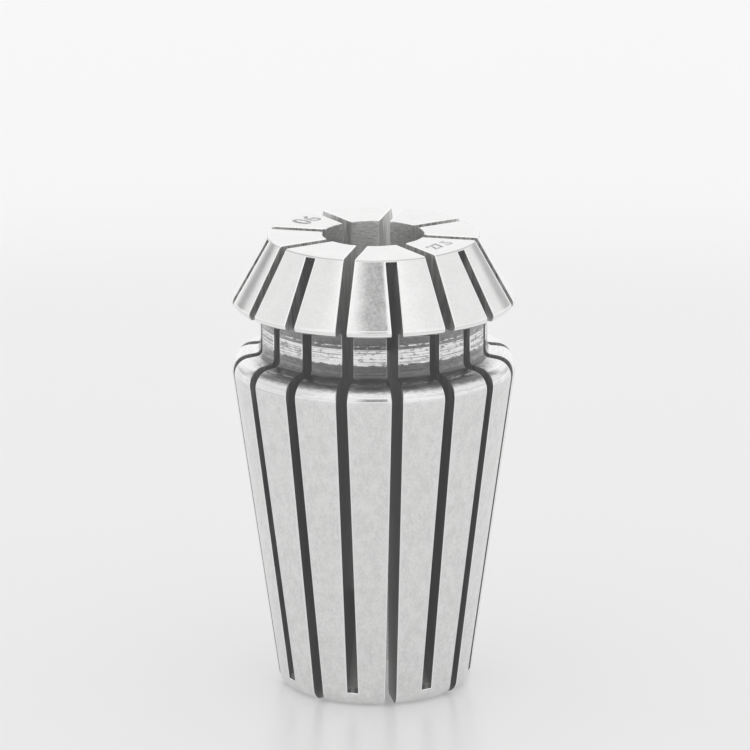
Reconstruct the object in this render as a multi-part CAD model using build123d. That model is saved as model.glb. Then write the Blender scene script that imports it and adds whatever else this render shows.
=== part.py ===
import os
from math import radians, sqrt, tan

from build123d import *

# A slotted spring collet for a 16 mm class chuck, in millimetres. It stands on its rear face,
# with its axis on Z and its front face on top. Every size is independent of the others.
collet_length = 27.5

# The rear taper seats in the chuck's socket. Its large diameter is taken at the sharp corner
# that it would make with the shoulder.
taper_large_diameter = 17.0
taper_half_angle = 8.0
rear_edge_radius = 0.8
shoulder_edge_radius = 1.0

# The clamping nut bears on the nose cone, and its ring pulls in the groove behind it. The
# front face's setback and the groove's depth are both taken from the taper's large radius.
front_face_setback = 2.3
nose_length = 4.15
nose_half_angle = 30.0
nose_edge_radius = 0.32
front_rim_radius = 0.2
groove_length = 3.08
groove_depth = 1.8
groove_fillet_radius = 0.35

# The bore grips the tool's shank.
bore_diameter = 6.0
front_mouth_chamfer = 0.05
rear_mouth_chamfer = 0.3

# Thin slots are sawn from each end in turn, and each stops short of the other end.
slots_per_end = 8
slot_width = 0.65
front_slot_floor = 0.9
rear_slot_roof = 0.13
saw_diameter = 50.0
saw_overrun = 1.5
saw_exit = 1.0

taper_large_radius = taper_large_diameter / 2
front_face_radius = taper_large_radius - front_face_setback
neck_radius = taper_large_radius - groove_depth
bore_radius = bore_diameter / 2
saw_radius = saw_diameter / 2

taper_slope = tan(radians(taper_half_angle))
nose_slope = tan(radians(nose_half_angle))
nose_base = collet_length - nose_length
nose_base_radius = front_face_radius + nose_length * nose_slope
shoulder_height = nose_base - groove_length
rear_radius = taper_large_radius - shoulder_height * taper_slope

# The shoulder is square to the taper, so it rises a little towards the neck.
neck_base = shoulder_height + groove_depth * taper_slope

# The saw's rim passes this far inside the bore's wall, and its arbor runs outside the collet.
saw_centre_radius = bore_radius - saw_overrun + saw_radius


def round_corner(section, corner, radius):
    return fillet(section.vertices().sort_by_distance(corner)[0], radius)


def bevel_corner(section, corner, length):
    return chamfer(section.vertices().sort_by_distance(corner)[0], length)


def turned_blank():
    rear_edge = (rear_radius, 0)
    shoulder_edge = (taper_large_radius, shoulder_height)
    groove_floor = (neck_radius, neck_base)
    groove_top = (neck_radius, nose_base)
    nose_edge = (nose_base_radius, nose_base)
    front_rim = (front_face_radius, collet_length)
    front_mouth = (bore_radius, collet_length)
    rear_mouth = (bore_radius, 0)
    section = make_face(
        Polyline(
            rear_mouth, rear_edge, shoulder_edge, groove_floor,
            groove_top, nose_edge, front_rim, front_mouth,
            close=True,
        )
    )
    section = round_corner(section, rear_edge, rear_edge_radius)
    section = round_corner(section, shoulder_edge, shoulder_edge_radius)
    section = round_corner(section, groove_floor, groove_fillet_radius)
    section = round_corner(section, groove_top, groove_fillet_radius)
    section = round_corner(section, nose_edge, nose_edge_radius)
    section = round_corner(section, front_rim, front_rim_radius)
    section = bevel_corner(section, front_mouth, front_mouth_chamfer)
    section = bevel_corner(section, rear_mouth, rear_mouth_chamfer)
    return revolve(Plane.XZ * section, Axis.Z)


def saw_drop(outer_radius):
    # How far the saw's rim, at this radius, lies from the height of its own centre.
    return sqrt(saw_radius**2 - (saw_centre_radius - outer_radius) ** 2)


def saw_cut(centre_height, end_height):
    disc = Pos(saw_centre_radius, centre_height) * Circle(saw_radius)
    run_height = (centre_height + end_height) / 2
    run = Pos(saw_centre_radius, run_height) * Rectangle(saw_diameter, abs(end_height - centre_height))
    return extrude(Plane.XZ * (disc + run), slot_width / 2, both=True)


def front_slots():
    floor_radius = rear_radius + front_slot_floor * taper_slope
    cut = saw_cut(front_slot_floor + saw_drop(floor_radius), collet_length + saw_exit)
    half_pitch = 180 / slots_per_end
    return [place * cut for place in PolarLocations(0, slots_per_end, half_pitch)]


def rear_slots():
    roof_height = collet_length - rear_slot_roof
    roof_radius = front_face_radius + rear_slot_roof * nose_slope
    cut = saw_cut(roof_height - saw_drop(roof_radius), -saw_exit)
    return [place * cut for place in PolarLocations(0, slots_per_end)]


collet = turned_blank() - front_slots() - rear_slots()

os.makedirs("parts", exist_ok=True)
export_step(collet, "parts/collet.step")
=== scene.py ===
import math
import random

import bmesh
import bpy
from mathutils import Matrix, Vector


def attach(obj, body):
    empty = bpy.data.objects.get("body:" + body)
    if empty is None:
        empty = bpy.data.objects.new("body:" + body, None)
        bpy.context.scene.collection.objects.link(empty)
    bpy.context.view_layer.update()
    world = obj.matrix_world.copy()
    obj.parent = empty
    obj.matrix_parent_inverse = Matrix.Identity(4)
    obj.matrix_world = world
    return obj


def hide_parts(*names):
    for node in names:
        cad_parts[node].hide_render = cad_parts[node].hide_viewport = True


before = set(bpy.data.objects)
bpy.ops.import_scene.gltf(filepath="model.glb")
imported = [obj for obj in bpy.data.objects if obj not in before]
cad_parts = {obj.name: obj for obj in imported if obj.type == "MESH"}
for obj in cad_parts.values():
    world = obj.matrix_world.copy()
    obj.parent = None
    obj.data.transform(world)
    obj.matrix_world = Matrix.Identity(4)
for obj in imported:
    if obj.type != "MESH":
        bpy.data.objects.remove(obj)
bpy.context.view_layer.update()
print("frame loaded:", sorted(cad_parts))

mm = 0.001
micron = 0.000001

# millimetres and degrees; the section is turned about Z and stands on its rear face
collet = {
    "length": 27.5,
    "taperDiameter": 17.0,        # at the sharp corner with the shoulder
    "taperAngle": 8.0,
    "rearEdgeRadius": 0.8,
    "shoulderEdgeRadius": 1.0,
    "frontFaceSetback": 2.3,
    "noseLength": 4.2,
    "noseAngle": 30.0,
    "noseEdgeRadius": 0.32,
    "rimRadius": 0.2,
    "grooveLength": 3.08,
    "grooveDepth": 1.8,
    "grooveFillet": 0.35,
    "boreDiameter": 6.0,
    "frontMouth": 0.05,
    "rearMouth": 0.3,
    "slotsPerEnd": 8,
    "slotWidth": 0.65,
    "frontSlotFloor": 0.9,
    "rearSlotRoof": 0.13,
    "sawRadius": 25.0,
    "sawOverrun": 1.5,
    "turningDepth": 0.004,        # how far the tool marks in the groove rise and fall
    "landBorder": 0.30,           # width of the softened border beside a slot
    "landBorderDrop": 0.007,      # how far the nose falls away there
    "landBorderFade": 0.3,        # the height in which that ends below a slot's roof
    "slotEdgeBreak": 0.045,       # how far the slot edges are rounded
    "endEdgeBreak": 0.02,         # and the edge across each slot's end
    "turnedReach": 0.85,          # the share of the shoulder's round that the turning takes in
}

# how finely the mesh is divided
division = {
    "landSteps": 10,              # columns of faces on each land
    "borderSteps": 3,             # how many of them lie in its border
    "borderCrowding": 1.3,        # how much these crowd towards the slot
    "borderMost": 0.2,            # the most of a land that its border may take
    "arcSteps": 12,               # edges along each slot's end
    "roundSteps": 8,
    "shoulderRoundSteps": 12,
    "edgeRoundSteps": 5,          # in the rounds of the nose's edge and the rim
    "turningCuts": 44,            # tool marks in the groove
    "taperCuts": 9,
    "boreCuts": 5,
    "noseCuts": 7,
    "faceCuts": 3,
    "noseMargin": 0.08,           # the lowest of the nose's rings, as a share of a step
    "faceMargin": 0.08,           # and the front face's outer rings, in millimetres
    "edgeBreakSegments": 3,
    "keenTurn": 100.0,            # a corner that turns further is rounded in two steps
    "smoothAngle": 40.0,
    "sectionWeld": 0.002,
    "weld": 0.0005,
    "near": 0.01,                 # heights closer than this count as the same
    "rimBand": (-0.005, 0.05),    # where the rim's painted dark line is, from the rim's middle
}


def deriveSection(size):
    # the heights and radii that follow from the chosen sizes
    taperSlope = math.tan(math.radians(size["taperAngle"]))
    noseSlope = math.tan(math.radians(size["noseAngle"]))
    taperRadius = size["taperDiameter"] / 2
    faceRadius = taperRadius - size["frontFaceSetback"]
    noseBase = size["length"] - size["noseLength"]
    shoulder = noseBase - size["grooveLength"]
    neckRadius = taperRadius - size["grooveDepth"]
    rearRadius = taperRadius - shoulder * taperSlope
    return {
        "taperRadius": taperRadius,
        "faceRadius": faceRadius,
        "noseBase": noseBase,
        "noseBaseRadius": faceRadius + size["noseLength"] * noseSlope,
        "shoulder": shoulder,
        "neckRadius": neckRadius,
        "neckBase": shoulder + size["grooveDepth"] * taperSlope,
        "rearRadius": rearRadius,
        "boreRadius": size["boreDiameter"] / 2,
        "floorRadius": rearRadius + size["frontSlotFloor"] * taperSlope,
        "roofRadius": faceRadius + size["rearSlotRoof"] * noseSlope,
    }


section = deriveSection(collet)

# the slots sawn from each end: the angle of the first, the side of it that the metal lies
# on, where its end meets the outside, and which way that end bends
frontSlot = {
    "angle": math.pi / collet["slotsPerEnd"],
    "side": -1,
    "edgeRadius": section["floorRadius"],
    "edgeHeight": collet["frontSlotFloor"],
    "bend": -1,
}
rearSlot = {
    "angle": 0.0,
    "side": 1,
    "edgeRadius": section["roofRadius"],
    "edgeHeight": collet["length"] - collet["rearSlotRoof"],
    "bend": 1,
}


def sawDrop(along):
    # how far the saw's rim lies from the height of its centre, at this distance from the axis
    centre = section["boreRadius"] - collet["sawOverrun"] + collet["sawRadius"]
    return math.sqrt(collet["sawRadius"] ** 2 - (centre - along) ** 2)


def slotEndHeight(slot, along):
    # the slot's end is the saw's arc: a floor below its centre, or a roof above it
    centre = slot["edgeHeight"] - slot["bend"] * sawDrop(slot["edgeRadius"])
    return centre + slot["bend"] * sawDrop(along)


def sectionCorners():
    # the sharp corners of the section, as radius and height, and the ends of the saw cuts
    size, at = collet, section
    boreAlong = math.sqrt(at["boreRadius"] ** 2 - (size["slotWidth"] / 2) ** 2)
    return {
        "rearMouth": (at["boreRadius"], 0),
        "rearEdge": (at["rearRadius"], 0),
        "slotFloor": (at["floorRadius"], frontSlot["edgeHeight"]),
        "shoulderEdge": (at["taperRadius"], at["shoulder"]),
        "grooveFloor": (at["neckRadius"], at["neckBase"]),
        "grooveTop": (at["neckRadius"], at["noseBase"]),
        "noseEdge": (at["noseBaseRadius"], at["noseBase"]),
        "slotRoof": (at["roofRadius"], rearSlot["edgeHeight"]),
        "rim": (at["faceRadius"], size["length"]),
        "frontMouth": (at["boreRadius"], size["length"]),
        "boreRoof": (at["boreRadius"], slotEndHeight(rearSlot, boreAlong)),
        "boreFloor": (at["boreRadius"], slotEndHeight(frontSlot, boreAlong)),
    }


def nearestVert(bm, radius, height):
    point = Vector((radius, 0, height))
    return min(bm.verts, key=lambda vert: (vert.co - point).length)


def cornerCut(radius, turn):
    # how far from a corner its round starts; turn is how many degrees the section turns there
    return radius * math.tan(math.radians(turn) / 2)


def bevelVerts(bm, verts, offset, segments):
    return bmesh.ops.bevel(
        bm, geom=verts, offset=offset, offset_type="OFFSET", segments=segments,
        profile=0.5, affect="VERTICES", material=-1,
    )


def roundCorner(bm, corner, radius, turn, segments=division["roundSteps"]):
    vert = nearestVert(bm, *corner)
    whole = cornerCut(radius, turn)
    if turn < division["keenTurn"]:
        bevelVerts(bm, [vert], whole, segments)
        return
    # a keen corner is cut flat first, so that two shallow arcs make the round
    part = cornerCut(radius, turn / 2)
    flat = bevelVerts(bm, [vert], whole - part, 1)
    for cutVert in flat["verts"]:
        bevelVerts(bm, [cutVert], part, segments)


def chamferCorner(bm, corner, size):
    bevelVerts(bm, [nearestVert(bm, *corner)], size, 1)


def divideRun(bm, lower, upper, cuts):
    # cuts the straight edge that joins two places of the section
    ends = {nearestVert(bm, *lower), nearestVert(bm, *upper)}
    edge = next(edge for edge in bm.edges if set(edge.verts) == ends)
    made = bmesh.ops.subdivide_edges(bm, edges=[edge], cuts=cuts)
    return [item for item in made["geom_inner"] if isinstance(item, bmesh.types.BMVert)]


def drawSection(bm):
    size, corner = collet, sectionCorners()
    verts = [bm.verts.new((radius, 0, height)) for radius, height in corner.values()]
    for start, end in zip(verts, verts[1:] + verts[:1]):
        bm.edges.new((start, end))
    taper, nose = size["taperAngle"], size["noseAngle"]
    roundCorner(bm, corner["rearEdge"], size["rearEdgeRadius"], 90 - taper)
    roundCorner(bm, corner["shoulderEdge"], size["shoulderEdgeRadius"], 90,
                division["shoulderRoundSteps"])
    roundCorner(bm, corner["grooveFloor"], size["grooveFillet"], 90 - taper)
    roundCorner(bm, corner["grooveTop"], size["grooveFillet"], 90)
    steps = division["edgeRoundSteps"]
    roundCorner(bm, corner["noseEdge"], size["noseEdgeRadius"], 90 + nose, steps)
    roundCorner(bm, corner["rim"], size["rimRadius"], 90 - nose, steps)
    chamferCorner(bm, corner["frontMouth"], size["frontMouth"])
    chamferCorner(bm, corner["rearMouth"], size["rearMouth"])
    bmesh.ops.remove_doubles(bm, verts=bm.verts, dist=division["sectionWeld"])


def divideSection(bm):
    size, at, corner = collet, section, sectionCorners()
    taper, nose = math.radians(size["taperAngle"]), math.radians(size["noseAngle"])

    # the cutting tool leaves uneven rings in the groove
    lowNeck = (at["neckRadius"], at["neckBase"] + size["grooveFillet"])
    highNeck = (at["neckRadius"], at["noseBase"] - size["grooveFillet"])
    rings = divideRun(bm, lowNeck, highNeck, division["turningCuts"])
    chatter = random.Random(16)
    for vert in sorted(rings, key=lambda ring: ring.co.z):
        vert.co.x += size["turningDepth"] * chatter.uniform(-1, 1)

    shoulderStart = (
        at["taperRadius"] - size["shoulderEdgeRadius"] * math.sin(taper),
        at["shoulder"] - size["shoulderEdgeRadius"] * math.cos(taper),
    )
    divideRun(bm, corner["slotFloor"], shoulderStart, division["taperCuts"])
    divideRun(bm, corner["boreFloor"], corner["boreRoof"], division["boreCuts"])

    # the nose's lowest ring stands close to the round, so the cone stays flat down to it
    keen = cornerCut(size["noseEdgeRadius"], 90 + size["noseAngle"])
    noseStart = (at["noseBaseRadius"] - keen * math.sin(nose),
                 at["noseBase"] + keen * math.cos(nose))
    rings = divideRun(bm, noseStart, corner["slotRoof"], division["noseCuts"])
    lowest = min(rings, key=lambda ring: ring.co.z)
    start = Vector((noseStart[0], 0, noseStart[1]))
    lowest.co = start.lerp(lowest.co, division["noseMargin"])

    # so do the outer and inner rings of the front face
    rimTop = at["faceRadius"] - cornerCut(size["rimRadius"], 90 - size["noseAngle"])
    mouthEdge = at["boreRadius"] + size["frontMouth"]
    rings = divideRun(bm, (rimTop, size["length"]), (mouthEdge, size["length"]),
                      division["faceCuts"])
    rings.sort(key=lambda ring: ring.co.x)
    rings[0].co.x = mouthEdge + division["faceMargin"]
    rings[-1].co.x = rimTop - division["faceMargin"]


finishIndex = {"ground": 0, "turned": 1, "bored": 2, "sawn": 3, "tumbled": 4, "rim": 5,
               "shadedSawnEnd": 6, "faced": 7}


def finishAt(face):
    # the finish of a turned surface, from where it lies on the section
    middle = face.calc_center_median()
    radius, height = math.hypot(middle.x, middle.y), middle.z
    if radius < section["boreRadius"] + collet["rearMouth"]:
        return finishIndex["bored"]
    # painted dark reflection: a thin darker line halfway round the rim
    rimMiddle = collet["length"] - collet["rimRadius"] / 2
    rimLow, rimHigh = (rimMiddle + reach for reach in division["rimBand"])
    if radius > section["faceRadius"] - collet["rimRadius"] / 2 and rimLow < height < rimHigh:
        return finishIndex["rim"]
    if height > collet["length"] - division["near"] / 2:
        return finishIndex["faced"]
    if height > section["noseBase"] + division["near"]:
        return finishIndex["tumbled"]
    if height > section["shoulder"] - collet["shoulderEdgeRadius"] * collet["turnedReach"]:
        return finishIndex["turned"]
    return finishIndex["ground"]


def splitAtSlotEnd(edges, slot, outward):
    # the edges that lie in the saw's cut, and those that lie in the metal beyond its end
    def isCut(edge):
        middle = (edge.verts[0].co + edge.verts[1].co) / 2
        endHeight = slotEndHeight(slot, middle.dot(outward))
        return (middle.z - endHeight) * slot["bend"] < 0

    cutEdges = [edge for edge in edges if isCut(edge)]
    webEdges = [edge for edge in edges if edge not in cutEdges]
    return cutEdges, webEdges


def addWall(bm, edges, slot):
    # closes one side of a slot, and carries the metal beyond its end to the slot's middle
    outward = Vector((math.cos(slot["angle"]), math.sin(slot["angle"]), 0))
    across = Vector((-outward.y, outward.x, 0)) * slot["side"] * collet["slotWidth"] / 2
    cutEdges, webEdges = splitAtSlotEnd(edges, slot, outward)
    webVerts = {vert for edge in webEdges for vert in edge.verts}
    cutVerts = {vert for edge in cutEdges for vert in edge.verts}
    inner, outer = sorted(webVerts & cutVerts, key=lambda vert: vert.co.dot(outward))

    # the saw's arc, from the bore to the outside
    start, end = inner.co.dot(outward), outer.co.dot(outward)
    chain = [inner]
    for step in range(1, division["arcSteps"]):
        along = start + (end - start) * step / division["arcSteps"]
        place = outward * along + across
        place.z = slotEndHeight(slot, along)
        chain.append(bm.verts.new(place))
    chain.append(outer)
    arcEdges = [bm.edges.new(pair) for pair in zip(chain, chain[1:])]
    for face in bmesh.ops.contextual_create(bm, geom=cutEdges + arcEdges)["faces"]:
        face.material_index = finishIndex["sawn"]

    arcVerts = set(chain[1:-1])
    made = bmesh.ops.extrude_edge_only(bm, edges=webEdges + arcEdges)["geom"]
    newVerts = {item for item in made if isinstance(item, bmesh.types.BMVert)}
    for vert in newVerts:
        source = next(
            edge.other_vert(vert) for edge in vert.link_edges
            if edge.other_vert(vert) not in newVerts
        )
        along = source.co.dot(outward)
        reach = along if source in arcVerts else math.hypot(source.co.x, source.co.y)
        vert.co = outward * reach + Vector((0, 0, source.co.z))
    # the faces across the slot's end take the nearly black colour of painted shade
    for face in made:
        if isinstance(face, bmesh.types.BMFace):
            isEnd = any(vert in arcVerts for vert in face.verts)
            face.material_index = finishIndex["shadedSawnEnd"] if isEnd else finishAt(face)


def columnShare(column, landWidth):
    # columns crowd together in the border beside each slot, then stand evenly
    steps, inset = division["landSteps"], division["borderSteps"]
    border = min(collet["landBorder"] / landWidth, division["borderMost"])
    near = min(column, steps - column)
    if near < inset:
        share = border * (near / inset) ** division["borderCrowding"]
    else:
        share = border + (0.5 - border) * (near - inset) / (steps / 2 - inset)
    return share if column < steps / 2 else 1 - share


def borderDrop(column, height, radius):
    # tumbling wears the nose away towards its slots, and leaves it whole beyond their ends
    steps, inset = division["landSteps"], division["borderSteps"]
    near = min(column, steps - column)
    isNose = height >= section["noseBase"] + division["near"]
    isOutside = radius >= section["faceRadius"] - collet["rimRadius"] / 2
    if near >= inset or not isNose or not isOutside:
        return 0.0
    drop = collet["landBorderDrop"] * (1 - near / inset) ** 2
    if column <= steps / 2:
        below = rearSlot["edgeHeight"] - height
        drop *= min(max(below / collet["landBorderFade"], 0), 1)
    return drop


def turnSector(bm):
    # half of the metal between two slots of one end, from a rear slot round to a front slot
    drawSection(bm)
    divideSection(bm)
    steps, sector = division["landSteps"], frontSlot["angle"]
    nearEdges = bm.edges[:]
    spun = bmesh.ops.spin(
        bm, geom=bm.verts[:] + bm.edges[:], cent=(0, 0, 0), axis=(0, 0, 1),
        angle=sector, steps=steps, use_duplicate=False,
    )
    farEdges = [item for item in spun["geom_last"] if isinstance(item, bmesh.types.BMEdge)]
    # each ring is shortened so that its ends lie in the saw cuts' flat sides
    for vert in bm.verts:
        column = round(math.atan2(vert.co.y, vert.co.x) / sector * steps)
        radius = math.hypot(vert.co.x, vert.co.y)
        radius -= borderDrop(column, vert.co.z, radius)
        gap = math.asin(collet["slotWidth"] / 2 / radius)
        land = sector - 2 * gap
        angle = gap + columnShare(column, radius * land) * land
        vert.co = (radius * math.cos(angle), radius * math.sin(angle), vert.co.z)
    for face in bm.faces:
        face.material_index = finishAt(face)
    addWall(bm, nearEdges, rearSlot)
    addWall(bm, farEdges, frontSlot)


def edgeBreak(edge):
    # how far an edge is rounded, as a share of the widest; the bore's edges stay sharp
    middle = (edge.verts[0].co + edge.verts[1].co) / 2
    if math.hypot(middle.x, middle.y) < section["boreRadius"] + collet["rearMouth"]:
        return 0.0
    for slot in (frontSlot, rearSlot):
        fromEnd = [abs(vert.co.z - slot["edgeHeight"]) for vert in edge.verts]
        if max(fromEnd) < division["near"]:
            return collet["endEdgeBreak"] / collet["slotEdgeBreak"]
    return 1.0


def everything(bm):
    return bm.verts[:] + bm.edges[:] + bm.faces[:]


def toMesh(name, bm):
    mesh = bpy.data.meshes.new(name)
    bm.to_mesh(mesh)
    bm.free()
    return mesh


def linkObject(name, data):
    made = bpy.data.objects.new(name, data)
    bpy.context.collection.objects.link(made)
    return made


def buildCollet(materials):
    bm = bmesh.new()
    turnSector(bm)
    bmesh.ops.mirror(bm, geom=everything(bm), matrix=Matrix(), merge_dist=division["weld"],
                     axis="Y")
    slots = collet["slotsPerEnd"]
    bmesh.ops.spin(
        bm, geom=everything(bm), cent=(0, 0, 0), axis=(0, 0, 1),
        angle=2 * math.pi * (slots - 1) / slots, steps=slots - 1, use_duplicate=True,
    )
    bmesh.ops.remove_doubles(bm, verts=bm.verts, dist=division["weld"])
    bmesh.ops.recalc_face_normals(bm, faces=bm.faces)

    # the bevel rounds the edges between the saw's cuts and the rest
    weight = bm.edges.layers.float.new("bevel_weight_edge")
    smooth = math.radians(division["smoothAngle"])
    cuts = {finishIndex["sawn"], finishIndex["shadedSawnEnd"]}
    for edge in bm.edges:
        sides = [face.material_index in cuts for face in edge.link_faces]
        if sides.count(True) == 1:
            edge[weight] = edgeBreak(edge)
        edge.smooth = edge.calc_face_angle(0) < smooth or edge[weight] > 0
    for face in bm.faces:
        face.smooth = True
    bmesh.ops.scale(bm, vec=(mm, mm, mm), verts=bm.verts)
    openEdges = sum(1 for edge in bm.edges if not edge.is_manifold)
    print("collet mesh:", len(bm.faces), "faces,", openEdges, "open edges")

    mesh = toMesh("colletBody", bm)
    piece = linkObject("colletBody", mesh)
    for name in finishIndex:
        mesh.materials.append(materials[name])

    bevel = piece.modifiers.new("edgeBreak", "BEVEL")
    bevel.limit_method = "WEIGHT"
    bevel.width = collet["slotEdgeBreak"] * mm
    bevel.segments = division["edgeBreakSegments"]
    bevel.profile = 0.5
    bevel.material = finishIndex["ground"]
    bevel.use_clamp_overlap = False
    bevel.miter_outer = "MITER_ARC"
    weighted = piece.modifiers.new("flatFaces", "WEIGHTED_NORMAL")
    weighted.keep_sharp = True
    return piece


fineFinish = {"shade": 0.90, "spread": (0.3, 0.7), "pattern": {"Grain": 6.0, "Cloud": 0.9}}

# each finish: its colour, how dark its dark places are beside that, where in the pattern
# these start and end, the pattern's own values, and the relief in micrometres
finishes = {
    # the worn colours are for the slot edges: partly wear, partly painted highlight
    "ground": {
        "colour": (0.845, 0.845, 0.84), "wornHighlight": (0.92, 0.92, 0.91), "shade": 0.86,
        "spread": (0.38, 0.6), "roughness": (0.14, 0.24), "relief": 1.0,
        "pattern": {"Grain": 7.0, "Cloud": 1.8, "Rise": 0.75},
    },
    "bored": {
        "colour": (0.97, 0.97, 0.96), "shade": 0.66,
        "spread": (0.38, 0.58), "roughness": (0.26, 0.44), "relief": 4.0,
        "pattern": {"Pitch": 12.0, "Break": 7.0},
    },
    "sawn": {
        "colour": (0.97, 0.97, 0.96), "shade": 0.42,
        "spread": (0.4, 0.62), "roughness": (0.35, 0.5), "relief": 4.0,
        "pattern": {"Grain": 9.0, "Cloud": 3.0, "Rise": 0.10},
        # painted shade deep in the slots: the height below which it is darkest, the one above
        # which it isn't, and how dark
        "paintedDepthShade": (14.0, 27.2, 0.38),
    },
    "tumbled": {
        **fineFinish, "colour": (0.865, 0.865, 0.86), "wornHighlight": (0.99, 0.99, 0.98),
        "roughness": (0.09, 0.16), "relief": 0.8,
    },
    "faced": {
        **fineFinish, "colour": (0.81, 0.81, 0.805), "wornHighlight": (0.94, 0.94, 0.93),
        "roughness": (0.09, 0.16), "relief": 0.6,
    },
    # painted dark reflection: the thin darker line round the rim
    "rim": {
        **fineFinish, "colour": (0.62, 0.62, 0.615),
        "roughness": (0.14, 0.24), "relief": 0.6,
    },
    # painted shade: the faces across each slot's end are coloured nearly black, for the shade
    # deep in the narrow cut
    "shadedSawnEnd": {
        **fineFinish, "colour": (0.13, 0.13, 0.128),
        "roughness": (0.4, 0.6), "relief": 2.0,
        "pattern": {"Grain": 6.0, "Cloud": 2.0},
    },
}
roughnessSpread = (0.3, 0.7)      # where in the pattern the roughness starts and ends
greyBlue = 0.99                   # how much blue a grey has beside its red and green


def addNode(tree, kind, x, y, **settings):
    node = tree.nodes.new(kind)
    node.location = (x, y)
    for name, value in settings.items():
        setattr(node, name, value)
    return node


def feed(tree, socket, value):
    # sets a socket's value, or joins it to the socket that gives one
    if isinstance(value, bpy.types.NodeSocket):
        tree.links.new(value, socket)
    else:
        socket.default_value = value


def addMath(tree, operation, x, y, *values):
    node = addNode(tree, "ShaderNodeMath", x, y, operation=operation)
    for socket, value in zip(node.inputs, values):
        feed(tree, socket, value)
    return node.outputs[0]


def addMix(tree, x, y, amount, first, second, blend="MIX"):
    node = addNode(tree, "ShaderNodeMix", x, y, data_type="RGBA", blend_type=blend)
    for name, value in (("Factor", amount), ("A", first), ("B", second)):
        feed(tree, node.inputs[name], value)
    return node.outputs["Result"]


def fadeOver(tree, x, y, value, start, end, low=1.0, high=0.0, curve="SMOOTHSTEP"):
    # a change from low to high as the value goes from start to end
    node = addNode(tree, "ShaderNodeMapRange", x, y, interpolation_type=curve)
    for name, given in (("Value", value), ("From Min", start), ("From Max", end),
                        ("To Min", low), ("To Max", high)):
        feed(tree, node.inputs[name], given)
    return node.outputs[0]


def toneRamp(tree, x, y, value, stops):
    # a row of greys, each given with the place where it stands
    node = addNode(tree, "ShaderNodeValToRGB", x, y)
    ramp = node.color_ramp
    while len(ramp.elements) < len(stops):
        ramp.elements.new(0.5)
    for element, (place, tone) in zip(ramp.elements, stops):
        element.position = place
    for element, (place, tone) in zip(ramp.elements, stops):
        element.color = (tone, tone, tone * greyBlue, 1)
    tree.links.new(value, node.inputs[0])
    return node.outputs[0]


def millimetreCoords(tree):
    coords = addNode(tree, "ShaderNodeTexCoord", -1400, 0)
    mapping = addNode(tree, "ShaderNodeMapping", -1200, 0)
    mapping.inputs["Scale"].default_value = (1 / mm, 1 / mm, 1 / mm)
    tree.links.new(coords.outputs["Object"], mapping.inputs["Vector"])
    return mapping.outputs["Vector"]


def splitPlace(tree, x, y, coords):
    split = addNode(tree, "ShaderNodeSeparateXYZ", x, y)
    tree.links.new(coords, split.inputs[0])
    return split.outputs


def roundAxis(tree, coords):
    # how far a place lies from the axis, its angle round that, and its height
    x, y, z = splitPlace(tree, -1000, 0, coords)
    radius = addMath(tree, "SQRT", -500, 300,
                     addMath(tree, "ADD", -650, 300,
                             addMath(tree, "MULTIPLY", -800, 350, x, x),
                             addMath(tree, "MULTIPLY", -800, 250, y, y)))
    return radius, addMath(tree, "ARCTAN2", -800, 0, y, x), z


def newGroup(name, inputs, outputs):
    group = bpy.data.node_groups.new(name, "ShaderNodeTree")

    def addSocket(socketName, side):
        return group.interface.new_socket(socketName, in_out=side,
                                          socket_type="NodeSocketFloat")

    for socketName, value in inputs.items():
        addSocket(socketName, "INPUT").default_value = value
    for socketName in outputs:
        addSocket(socketName, "OUTPUT")
    given = addNode(group, "NodeGroupInput", -1400, -300)
    return group, given, addNode(group, "NodeGroupOutput", 800, 0)


grainLook = {
    "grainDetail": 3,
    "cloudDetail": 2,
    "grainShare": 0.55,           # of the tone; the clouds make the rest
}


def makeGrainGroup():
    # the fine pits and faint clouds of the metal, drawn out along Z where a saw went
    group, given, result = newGroup("metalGrain", {"Grain": 6.0, "Cloud": 0.9, "Rise": 1.0},
                                    ("Height", "Tone"))
    stretch = addNode(group, "ShaderNodeCombineXYZ", -1100, -200)
    stretch.inputs[0].default_value = stretch.inputs[1].default_value = 1.0
    group.links.new(given.outputs["Rise"], stretch.inputs[2])
    stretched = addNode(group, "ShaderNodeVectorMath", -1000, 0, operation="MULTIPLY")
    group.links.new(millimetreCoords(group), stretched.inputs[0])
    group.links.new(stretch.outputs[0], stretched.inputs[1])

    def noise(y, name, detail):
        node = addNode(group, "ShaderNodeTexNoise", -900, y)
        node.inputs["Detail"].default_value = detail
        group.links.new(stretched.outputs[0], node.inputs["Vector"])
        group.links.new(given.outputs[name], node.inputs["Scale"])
        return node.outputs[0]

    grain = noise(200, "Grain", grainLook["grainDetail"])
    cloud = noise(-100, "Cloud", grainLook["cloudDetail"])
    share = grainLook["grainShare"]
    tone = addMath(group, "ADD", -500, -100,
                   addMath(group, "MULTIPLY", -700, 0, grain, share),
                   addMath(group, "MULTIPLY", -700, -200, cloud, 1 - share))
    group.links.new(grain, result.inputs["Height"])
    group.links.new(tone, result.inputs["Tone"])
    return group


ringLook = {"detail": 4, "fineness": 0.65}


def makeRingGroup():
    # rings that a cutting tool leaves round the axis, broken here and there
    group, given, result = newGroup("turningRings", {"Pitch": 7.0, "Break": 1.2},
                                    ("Height", "Tone"))
    radius, angle, z = roundAxis(group, millimetreCoords(group))
    place = addNode(group, "ShaderNodeCombineXYZ", -300, 100)
    for index, source, rate in ((0, angle, "Break"), (1, radius, "Pitch"), (2, z, "Pitch")):
        group.links.new(addMath(group, "MULTIPLY", -450, 100 - index * 100, source,
                                given.outputs[rate]), place.inputs[index])
    rings = addNode(group, "ShaderNodeTexNoise", -100, 100)
    rings.inputs["Scale"].default_value = 1.0
    rings.inputs["Detail"].default_value = ringLook["detail"]
    rings.inputs["Roughness"].default_value = ringLook["fineness"]
    group.links.new(place.outputs[0], rings.inputs["Vector"])
    group.links.new(rings.outputs[0], result.inputs["Height"])
    group.links.new(rings.outputs[0], result.inputs["Tone"])
    return group


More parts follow.
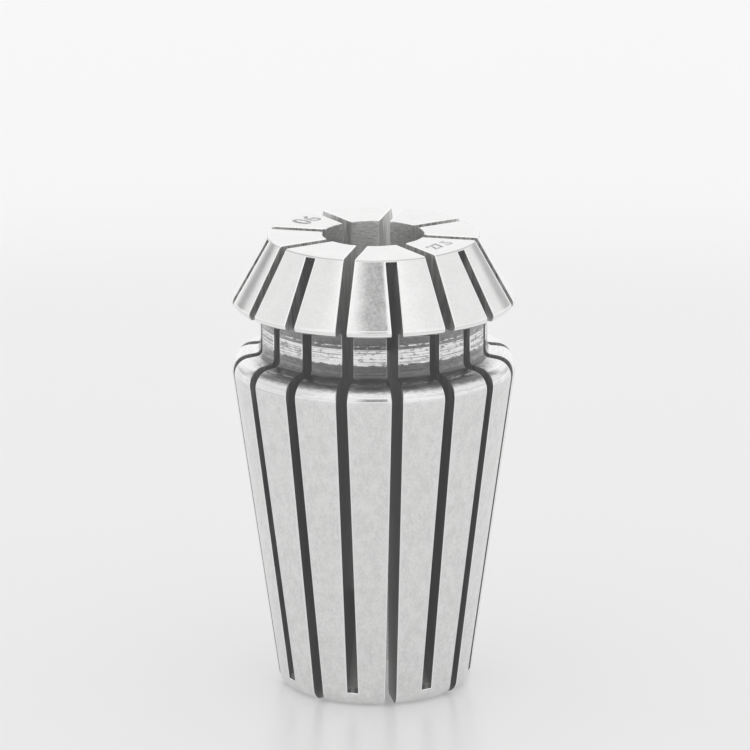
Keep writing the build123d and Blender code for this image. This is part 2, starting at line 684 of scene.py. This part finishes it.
slotWearAndHighlight = {
    "reach": 0.12,                # how far from a slot the wear and painted highlight end
    "whole": 0.04,                # and how far it is at its full
    "uneven": 0.03,
    "unevenScale": 1.5,
    "rim": (0.20, 0.34),          # above the nose's base, where the wear and painted highlight of its rim end
    "rimStart": 0.005,
}


def makeSlotWearAndHighlightGroup():
    # the metal along each slot's edges is coloured brighter: partly the polish that tumbling
    # leaves, partly a painted highlight of the rounded edges
    group, given, result = newGroup(
        "slotWearAndHighlight", {"Reach": slotWearAndHighlight["reach"], "Uneven": slotWearAndHighlight["uneven"]}, ("Mask",))
    coords = millimetreCoords(group)
    radius, angle, z = roundAxis(group, coords)
    sector = frontSlot["angle"]
    turn = addMath(group, "PINGPONG", -650, 0, angle, sector / 2)
    across = addMath(group, "SUBTRACT", -350, 100,
                     addMath(group, "MULTIPLY", -450, 200, radius,
                             addMath(group, "SINE", -500, 0, turn)),
                     collet["slotWidth"] / 2)
    noise = addNode(group, "ShaderNodeTexNoise", -700, -250)
    noise.inputs["Scale"].default_value = slotWearAndHighlight["unevenScale"]
    group.links.new(coords, noise.inputs["Vector"])
    uneven = addMath(group, "MULTIPLY", -350, -200,
                     addMath(group, "SUBTRACT", -500, -250, noise.outputs[0], 0.5),
                     given.outputs["Uneven"])
    mask = fadeOver(group, -100, 0, addMath(group, "ADD", -200, 0, across, uneven),
                    slotWearAndHighlight["whole"], given.outputs["Reach"])
    # beyond a slot's end the metal is whole, and has no edges to wear
    fromRear = addMath(group, "PINGPONG", -650, -500, angle, sector)
    isRear = addMath(group, "LESS_THAN", -500, -500, fromRear, sector / 2)
    isFront = addMath(group, "SUBTRACT", -350, -600, 1.0, isRear)
    belowRoof = addMath(group, "LESS_THAN", -500, -650, z, rearSlot["edgeHeight"])
    aboveFloor = addMath(group, "GREATER_THAN", -500, -800, z, frontSlot["edgeHeight"])
    cut = addMath(group, "ADD", 0, -500,
                  addMath(group, "MULTIPLY", -150, -500, isRear, belowRoof),
                  addMath(group, "MULTIPLY", -150, -700, isFront, aboveFloor))
    along = addMath(group, "MULTIPLY", 200, 0, mask, cut)
    # the nose's lower rim is brightened as well: partly wear, partly a painted highlight
    rimFull, rimEnd = (section["noseBase"] + height for height in slotWearAndHighlight["rim"])
    rim = fadeOver(group, 0, -900, z, rimFull, rimEnd)
    nose = addMath(group, "GREATER_THAN", 0, -1100, z,
                   section["noseBase"] + slotWearAndHighlight["rimStart"])
    wornHighlight = addMath(group, "MAXIMUM", 400, 0, along,
                   addMath(group, "MULTIPLY", 200, -900, rim, nose))
    group.links.new(wornHighlight, result.inputs["Mask"])
    return group


groove = {
    "low": 19.4,                  # the heights that the rows below span
    "high": 23.4,
    "ragged": 0.42,               # how far the bands' borders wander
    "speckShare": 0.75,           # of that wandering; the long rings make the rest
    "clean": (21.7, 22.0),        # the heights where it lessens, and to what share
    "cleanShare": 0.3,
    # heights, each with a value: the colour's bands of painted shade and painted reflection,
    # how much of the rings' shade it takes, how rough it is, how deep the rings are, how much
    # painted reflection it takes at a glancing angle, how far the shoulder's flat leans away,
    # and how far painted shade dims the slots' edges
    "rows": {
        "Shade": [
            (19.42, 0.76), (19.70, 0.78), (19.80, 0.82), (19.93, 0.83), (19.99, 0.62),
            (20.06, 0.36), (20.12, 0.17), (20.19, 0.17), (20.25, 0.30), (20.30, 0.28),
            (20.35, 0.15), (20.42, 0.14), (20.52, 0.14), (20.62, 0.10), (20.79, 0.14),
            (20.98, 0.11), (21.26, 0.14), (21.31, 0.88), (22.18, 0.88), (22.22, 0.12),
            (22.36, 0.15), (22.54, 0.13), (23.30, 0.14),
        ],
        "Streaked": [(20.5, 0.2), (20.7, 0.6), (21.25, 0.75), (21.33, 1), (22.15, 1),
                     (22.22, 0.8), (22.9, 0.3)],
        "Rough": [(19.42, 0.10), (19.78, 0.10), (19.86, 0.26), (20.2, 0.30), (23.3, 0.34)],
        "Carved": [(20.5, 0.06), (20.7, 0.6), (21.25, 0.6), (21.33, 1), (23.3, 1)],
        "Glancing": [(20.5, 0), (20.75, 1)],
        "Lean": [(20.28, 0), (20.40, 0.16)],
        "Edges": [(19.5, 1), (19.8, 0.5), (20.1, 0.2), (21.25, 0.2), (21.33, 1),
                  (22.15, 1), (22.26, 0.35), (23.25, 0.35), (23.34, 1)],
    },
    # the broken painted highlight line above the bands: its height, how far from that it is
    # whole and ends, its tone, and the specks that break it
    "line": 22.42,
    "lineWidth": (0.02, 0.07),
    "lineTone": 0.85,
    "lineBreaks": (0.44, 0.58),
    "lineLeast": 0.15,
    # painted glints strewn above it
    "glintBase": 22.28,
    "glintFade": (22.4, 23.0),
    "glints": (0.57, 0.66),
    "glintTone": 0.5,
}


def makeGrooveGroup():
    # bands of painted shade and painted reflection down the groove: dark under the nose and in
    # the shoulder's corner, bright between
    group, given, result = newGroup("grooveBands", {"Ring": 0.5, "Speck": 0.5},
                                    [*groove["rows"], "Line"])
    ring, speck = given.outputs["Ring"], given.outputs["Speck"]
    z = splitPlace(group, -1000, 0, millimetreCoords(group))[2]
    share = groove["speckShare"]
    wander = addMath(group, "ADD", -1000, -300,
                     addMath(group, "MULTIPLY", -1100, -300, ring, 1 - share),
                     addMath(group, "MULTIPLY", -1100, -400, speck, share))
    # the upper border of the bands wanders less
    reach = fadeOver(group, -900, -500, z, *groove["clean"], groove["ragged"],
                     groove["ragged"] * groove["cleanShare"])
    ragged = addMath(group, "MULTIPLY", -750, -300,
                     addMath(group, "SUBTRACT", -900, -300, wander, 0.5), reach)
    level = addMath(group, "ADD", -600, 0, z, ragged)
    span = groove["high"] - groove["low"]
    along = addMath(group, "DIVIDE", -400, 0,
                    addMath(group, "SUBTRACT", -500, 0, level, groove["low"]), span)
    for row, (name, heights) in enumerate(groove["rows"].items()):
        stops = [((height - groove["low"]) / span, tone) for height, tone in heights]
        group.links.new(toneRamp(group, -100, 300 - row * 300, along, stops),
                        result.inputs[name])

    # painted highlights: the broken bright line, and the glints above it
    fromLine = addMath(group, "ABSOLUTE", -300, -1300,
                       addMath(group, "SUBTRACT", -450, -1300, level, groove["line"]))
    line = fadeOver(group, -100, -1300, fromLine, *groove["lineWidth"], groove["lineTone"])
    broken = fadeOver(group, -300, -1500, speck, *groove["lineBreaks"],
                      groove["lineLeast"], 1.0)
    glint = fadeOver(group, -300, -1700, speck, *groove["glints"], 0.0, groove["glintTone"])
    strewn = fadeOver(group, -100, -1700, z, *groove["glintFade"])
    above = addMath(group, "GREATER_THAN", -100, -1900, z, groove["glintBase"])
    glints = addMath(group, "MULTIPLY", 200, -1700,
                     addMath(group, "MULTIPLY", 100, -1700, glint, strewn), above)
    group.links.new(addMath(group, "MAXIMUM", 400, -1300, glints,
                            addMath(group, "MULTIPLY", 100, -1300, line, broken)),
                    result.inputs["Line"])
    return group


def newMaterial(name):
    material = bpy.data.materials.new(name)
    material.use_nodes = True
    tree = material.node_tree
    return material, tree, tree.nodes["Principled BSDF"]


def addPattern(tree, x, y, group, values):
    node = addNode(tree, "ShaderNodeGroup", x, y, node_tree=group)
    for socketName, value in values.items():
        node.inputs[socketName].default_value = value
    return node


def startSteel(name, group, values, relief):
    # bare metal with a pattern's relief; its colour and roughness are joined up later
    material, tree, shader = newMaterial(name + "Steel")
    shader.inputs["Metallic"].default_value = 1.0
    pattern = addPattern(tree, -1100, 0, group, values)
    bump = addNode(tree, "ShaderNodeBump", -300, -300)
    bump.inputs["Distance"].default_value = relief * micron
    tree.links.new(pattern.outputs["Height"], bump.inputs["Height"])
    tree.links.new(bump.outputs[0], shader.inputs["Normal"])
    return material, tree, shader, pattern


def steel(name, group, wearHighlight=None, bands=None):
    look = finishes[name]
    material, tree, shader, pattern = startSteel(name, group, look["pattern"], look["relief"])
    clouded = addNode(tree, "ShaderNodeValToRGB", -800, 200)
    tree.links.new(pattern.outputs["Tone"], clouded.inputs[0])
    dark = tuple(part * look["shade"] for part in look["colour"])
    stops = zip(clouded.color_ramp.elements, look["spread"], (dark, look["colour"]))
    for element, place, tone in stops:
        element.position = place
        element.color = tone + (1,)
    rough = fadeOver(tree, -800, -100, pattern.outputs["Tone"], *roughnessSpread,
                     *look["roughness"], curve="LINEAR")
    tree.links.new(rough, shader.inputs["Roughness"])

    colour = clouded.outputs[0]
    if "paintedDepthShade" in look:
        # painted shade: the saw's cuts are coloured darker deep in the body, where the narrow
        # slots lie in shade
        low, high, least = look["paintedDepthShade"]
        z = splitPlace(tree, -1000, 700, millimetreCoords(tree))[2]
        shadeByDepth = fadeOver(tree, -800, 700, z, low, high, least, 1.0)
        colour = addMix(tree, -400, 500, 1.0, colour, shadeByDepth, "MULTIPLY")
    if wearHighlight:
        # slot edges take the brighter worn colour: partly wear, partly painted highlight
        edge = addPattern(tree, -800, 500, wearHighlight, {})
        colour = addMix(tree, -400, 300, edge.outputs["Mask"], colour, look["wornHighlight"] + (1,))
    if bands:
        # painted shade: the broken edges of the slots are coloured darker where they cross the
        # groove's dark bands
        crossed = addPattern(tree, -400, 600, bands, {})
        colour = addMix(tree, -200, 400, 1.0, colour, crossed.outputs["Edges"], "MULTIPLY")
    tree.links.new(colour, shader.inputs["Base Color"])
    return material


turning = {
    "rings": {"Pitch": 13.0, "Break": 0.9},
    "specks": {"Pitch": 6.5, "Break": 20.0},
    "relief": 3.0,
    "ringShare": 0.72,            # of the long rings' shade; the specks make the rest
    # where in the pattern the shade starts and ends, and how dark it is
    "ringShade": (0.44, 0.52, 0.56),
    "speckShade": (0.36, 0.44, 0.7),
    "glance": 3.2,                # painted reflection: how much a glancing angle brightens the neck's colour
    "glanceBlend": 0.5,
    "brightest": 0.88,
    "flatSeen": (0.43, 0.56),     # how far aslant the shoulder's flat starts to take its painted reflection
    "wearHighlight": {"Reach": 0.10},
    "wornHighlightTone": 0.85,
}


def turnedSteel(group, grooveGroup, wearHighlight):
    material, tree, shader, pattern = startSteel("turned", group, turning["rings"],
                                                 turning["relief"])
    ringTone = pattern.outputs["Tone"]
    speckTone = addPattern(tree, -1100, -300, group, turning["specks"]).outputs["Tone"]
    bands = addPattern(tree, -900, 300, grooveGroup, {})
    tree.links.new(ringTone, bands.inputs["Ring"])
    tree.links.new(speckTone, bands.inputs["Speck"])

    # long rings, broken up by specks
    share = turning["ringShare"]
    mixed = addMath(tree, "ADD", -850, 0,
                    addMath(tree, "MULTIPLY", -950, 0, ringTone, share),
                    addMath(tree, "MULTIPLY", -950, -100, speckTone, 1 - share))
    ring = fadeOver(tree, -700, 0, mixed, *turning["ringShade"])
    speck = fadeOver(tree, -700, -200, speckTone, *turning["speckShade"])
    dark = addMath(tree, "MAXIMUM", -600, -100, ring, speck)
    cut = addMath(tree, "SUBTRACT", -400, 100, 1.0,
                  addMath(tree, "MULTIPLY", -550, 100, dark, bands.outputs["Streaked"]))

    # painted reflection: at a glancing angle the neck's colour is lifted
    weight = addNode(tree, "ShaderNodeLayerWeight", -800, 400)
    weight.inputs["Blend"].default_value = turning["glanceBlend"]
    aslant = weight.outputs["Facing"]
    glancing = addMath(tree, "MULTIPLY", -650, 400, aslant, bands.outputs["Glancing"])
    glance = addMath(tree, "ADD", -450, 400, 1.0,
                     addMath(tree, "MULTIPLY", -550, 400, glancing, turning["glance"]))
    neck = addMath(tree, "MINIMUM", -350, 350,
                   addMath(tree, "MULTIPLY", -450, 300, bands.outputs["Shade"], glance),
                   turning["brightest"])
    # painted reflection: the shoulder's flat is coloured bright only where it is seen aslant
    # past the neck
    seen = addMath(tree, "SUBTRACT", -650, 800, aslant, bands.outputs["Lean"])
    beside = fadeOver(tree, -500, 800, seen, *turning["flatSeen"], 0.0, turning["brightest"])
    flat = addMath(tree, "MULTIPLY", -350, 700, beside,
                   addMath(tree, "SUBTRACT", -500, 650, 1.0, bands.outputs["Glancing"]))
    lifted = addMath(tree, "MAXIMUM", -250, 350, neck, flat)
    tone = addMath(tree, "MULTIPLY", -300, 200, lifted, cut)
    # painted highlights: the broken bright line and the glints
    top = addMath(tree, "MAXIMUM", -200, 200, tone, bands.outputs["Line"])

    # slot edges coloured brighter: partly wear, partly painted highlight
    edge = addPattern(tree, -800, 600, wearHighlight, turning["wearHighlight"])
    # painted shade: that brighter colour is dimmed where the edges cross the groove's dark
    # bands
    edgeInShade = addMath(tree, "MULTIPLY", -400, 600, bands.outputs["Edges"],
                     turning["wornHighlightTone"])
    wornHighlight = addMath(tree, "MULTIPLY", -300, 500, edge.outputs["Mask"], edgeInShade)
    tree.links.new(addMath(tree, "MAXIMUM", -100, 300, top, wornHighlight),
                   shader.inputs["Base Color"])
    tree.links.new(bands.outputs["Rough"], shader.inputs["Roughness"])
    carved = addMath(tree, "MULTIPLY", -500, -300, pattern.outputs["Height"],
                     bands.outputs["Carved"])
    tree.links.new(carved, tree.nodes["Bump"].inputs["Height"])
    return material


grainGroup, ringGroup = makeGrainGroup(), makeRingGroup()
slotWearAndHighlightGroup, grooveGroup = makeSlotWearAndHighlightGroup(), makeGrooveGroup()
steels = {
    "ground": steel("ground", grainGroup, slotWearAndHighlightGroup, grooveGroup),
    "turned": turnedSteel(ringGroup, grooveGroup, slotWearAndHighlightGroup),
    "bored": steel("bored", ringGroup),
    "sawn": steel("sawn", grainGroup),
    "tumbled": steel("tumbled", grainGroup, slotWearAndHighlightGroup),
    "faced": steel("faced", grainGroup, slotWearAndHighlightGroup),
    "rim": steel("rim", grainGroup),
    "shadedSawnEnd": steel("shadedSawnEnd", grainGroup),
}
print("materials made:", sorted(steels))

body = buildCollet(steels)
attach(body, "root")
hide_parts("collet")
print("collet built")

# plain numbers etched on the front face; facing is 1 where the feet of the figures are at
# the rim, and -1 where their heads are
marks = [
    {"name": "boreMark", "text": "06", "size": 1.75, "bold": 0.04, "radius": 4.95,
     "angle": 132.5, "facing": -1},
    {"name": "lengthMark", "text": "27.5", "size": 1.12, "bold": 0.03, "radius": 4.85,
     "angle": -46.0, "facing": 1},
]
etching = {
    "stand": 0.004,               # how far the figures stand out of the face
    "sink": 0.05,                 # and how far they go into it
    "tone": (0.22, 0.52),
    "spread": (0.42, 0.58),       # where in the grain the tone starts and ends
    "roughness": 0.45,
    "curveSteps": 3,
}


def etchedSteel():
    material, tree, shader = newMaterial("etchedSteel")
    shader.inputs["Metallic"].default_value = 1.0
    shader.inputs["Roughness"].default_value = etching["roughness"]
    grain = addPattern(tree, -700, 0, grainGroup, {})
    tone = fadeOver(tree, -400, 0, grain.outputs["Tone"], *etching["spread"],
                    *etching["tone"])
    tree.links.new(tone, shader.inputs["Base Color"])
    return material


def figures(mark):
    # the number as a mesh, lying flat at the origin
    data = bpy.data.curves.new(mark["name"] + "Text", "FONT")
    data.body = mark["text"]
    data.size = mark["size"] * mm
    data.offset = mark["bold"] * mm
    data.align_x, data.align_y = "CENTER", "CENTER"
    data.extrude = (etching["stand"] + etching["sink"]) / 2 * mm
    data.resolution_u = etching["curveSteps"]
    writing = linkObject(mark["name"] + "Text", data)
    bpy.context.view_layer.update()
    mesh = bpy.data.meshes.new_from_object(
        writing.evaluated_get(bpy.context.evaluated_depsgraph_get()))
    bpy.data.objects.remove(writing)
    return mesh


def addMark(mark, material):
    mesh = figures(mark)
    angle = math.radians(mark["angle"])
    outward = Vector((math.cos(angle), math.sin(angle), 0))
    upward = -outward * mark["facing"]
    across = upward.cross(Vector((0, 0, 1)))
    turn = Matrix((across, upward, Vector((0, 0, 1)))).transposed().to_4x4()
    height = collet["length"] + (etching["stand"] - etching["sink"]) / 2
    place = outward * mark["radius"] + Vector((0, 0, height))
    mesh.transform(Matrix.Translation(place * mm) @ turn)
    mesh.materials.clear()
    mesh.materials.append(material)
    piece = linkObject(mark["name"], mesh)
    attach(piece, "root")


etched = etchedSteel()
for mark in marks:
    addMark(mark, etched)
print("marks added:", len(marks))

# the camera stands a little left of -Y and looks down on the nose
view = {
    "azimuth": -9.458,
    "elevation": 15.804,
    "roll": -0.18,
    "distance": 378.223,
    "target": (0.071, 18.834),    # to the right of the axis, and up it
    "lens": 307.256,
    "sensor": 36.0,
    "clip": (0.01, 20.0),         # metres
}


def skyFrame(azimuth, elevation):
    # the direction to a place in the sky, and the level one to the right of it
    azimuth, elevation = math.radians(azimuth), math.radians(elevation)
    toward = Vector((math.sin(azimuth) * math.cos(elevation),
                     -math.cos(azimuth) * math.cos(elevation), math.sin(elevation)))
    return toward, Vector((0, 0, 1)).cross(toward).normalized()


def addCamera():
    back, right = skyFrame(view["azimuth"], view["elevation"])
    up = back.cross(right)
    roll = math.radians(view["roll"])
    tiltedRight = right * math.cos(roll) + up * math.sin(roll)
    tiltedUp = up * math.cos(roll) - right * math.sin(roll)
    beside, height = view["target"]
    place = right * beside + Vector((0, 0, height)) + back * view["distance"]
    data = bpy.data.cameras.new("camera")
    data.lens = view["lens"]
    data.sensor_width = view["sensor"]
    data.clip_start, data.clip_end = view["clip"]
    camera = linkObject("camera", data)
    turn = Matrix((tiltedRight, tiltedUp, back)).transposed()
    camera.matrix_world = Matrix.Translation(place * mm) @ turn.to_4x4()
    bpy.context.scene.camera = camera


addCamera()

# tones are shares of white; the floor's sizes are in metres
studio = {
    "floorSize": 6.0,
    "floorSides": 64,
    # painted shade: the floor is coloured darker near the collet than further out
    "nearTone": 0.745,
    "farTone": 0.815,
    "fade": (0.085, 0.125),       # how far from the collet the tone changes
    "floorGlow": 0.35,            # the share of its light that the floor gives off itself, as painted light that lightens the collet's shadow on it
    "floorRoughness": 0.3,
    "floorGloss": 0.3,
    "skyTone": 1.08,
    "blackLift": 0.046,           # haze in the darkest places
    "cardAhead": (0.1, 0.2),      # keeps a card out of the half of the sky behind it
    # grey cards: degrees right of the camera and up, then from each middle the
    # angles where the card starts, is whole, is whole and ends, and its tone
    "cards": [
        {"turn": 0, "rise": 44.9, "across": (-16, -4, 9, 10.8), "up": (-2.2, -1.5, 1.5, 2.2),
         "tone": 0.312},
        {"turn": 0, "rise": 15, "across": (-16, -4, 9, 10.8), "up": (-10, -8, 8, 10),
         "tone": 0.36},
        {"turn": -137, "rise": 8.6, "across": (-11, -2, 2, 11), "up": (-9, -2, 2, 9),
         "tone": 0.42},
        {"turn": 137, "rise": 8.6, "across": (-11, -2, 2, 11), "up": (-9, -2, 2, 9),
         "tone": 0.50},
        {"turn": -95, "rise": 30, "across": (-50, -32, 32, 45), "up": (-30, -15, 25, 40),
         "tone": 0.865},
        {"turn": 95, "rise": 30, "across": (-50, -25, 32, 45), "up": (-30, -15, 25, 40),
         "tone": 0.875},
    ],
}
cardRowHeight = 400               # between the rows of nodes, one row to a card


def paperMaterial():
    material, tree, shader = newMaterial("palePaper")
    shader.inputs["Roughness"].default_value = studio["floorRoughness"]
    shader.inputs["Specular IOR Level"].default_value = studio["floorGloss"]
    coords = addNode(tree, "ShaderNodeTexCoord", -1000, 0)
    length = addNode(tree, "ShaderNodeVectorMath", -800, 0, operation="LENGTH")
    tree.links.new(coords.outputs["Object"], length.inputs[0])
    # painted shade near the collet; part of this tone glows as painted light
    tone = fadeOver(tree, -600, 0, length.outputs["Value"], *studio["fade"],
                    studio["nearTone"], studio["farTone"])
    lit = addMath(tree, "MULTIPLY", -300, 0, tone, 1 - studio["floorGlow"])
    tree.links.new(lit, shader.inputs["Base Color"])
    tree.links.new(tone, shader.inputs["Emission Color"])
    shader.inputs["Emission Strength"].default_value = studio["floorGlow"]
    return material


def addFloor():
    bm = bmesh.new()
    bmesh.ops.create_circle(bm, cap_ends=True, segments=studio["floorSides"],
                            radius=studio["floorSize"])
    mesh = toMesh("floor", bm)
    mesh.materials.append(paperMaterial())
    linkObject("floor", mesh)


def addCard(tree, direction, card, row):
    # one grey card hung in the sky; gives 1 outside it and its tone inside
    middle, across = skyFrame(view["azimuth"] + card["turn"], card["rise"])
    upward = middle.cross(across)
    y = -row * cardRowHeight

    def along(axis, offset):
        dot = addNode(tree, "ShaderNodeVectorMath", -1000, y + offset,
                      operation="DOT_PRODUCT")
        tree.links.new(direction, dot.inputs[0])
        dot.inputs[1].default_value = axis
        return dot.outputs["Value"]

    ahead = along(middle, 0)
    mask = fadeOver(tree, -200, y, ahead, *studio["cardAhead"], 0.0, 1.0)
    for axis, name, offset in ((across, "across", -120), (upward, "up", -240)):
        side = addMath(tree, "DIVIDE", -800, y + offset, along(axis, offset), ahead)
        starts, whole, stillWhole, ends = (math.tan(math.radians(a)) for a in card[name])
        for first, last, low in ((starts, whole, 0.0), (stillWhole, ends, 1.0)):
            inside = fadeOver(tree, -400, y + offset, side, first, last, low, 1 - low)
            mask = addMath(tree, "MULTIPLY", -100, y + offset, mask, inside)
    return addMath(tree, "SUBTRACT", 100, y, 1.0,
                   addMath(tree, "MULTIPLY", 0, y, mask, 1 - card["tone"]))


def addSky():
    world = bpy.data.worlds.new("studioSky")
    bpy.context.scene.world = world
    world.use_nodes = True
    tree = world.node_tree
    background = tree.nodes["Background"]
    direction = addNode(tree, "ShaderNodeTexCoord", -1300, 0).outputs["Generated"]
    tone = studio["skyTone"]
    for row, card in enumerate(studio["cards"]):
        tone = addMath(tree, "MULTIPLY", 300, -row * cardRowHeight,
                       addCard(tree, direction, card, row), tone)
    tree.links.new(tone, background.inputs["Strength"])
    background.inputs["Color"].default_value = (1, 1, 1, 1)


def setFilm():
    settings = bpy.context.scene.view_settings
    settings.view_transform = "Standard"
    settings.use_curve_mapping = True
    allColours = settings.curve_mapping.curves[3]
    allColours.points[0].location = (0.0, studio["blackLift"])
    settings.curve_mapping.update()


addFloor()
addSky()
setFilm()
print("studio ready")
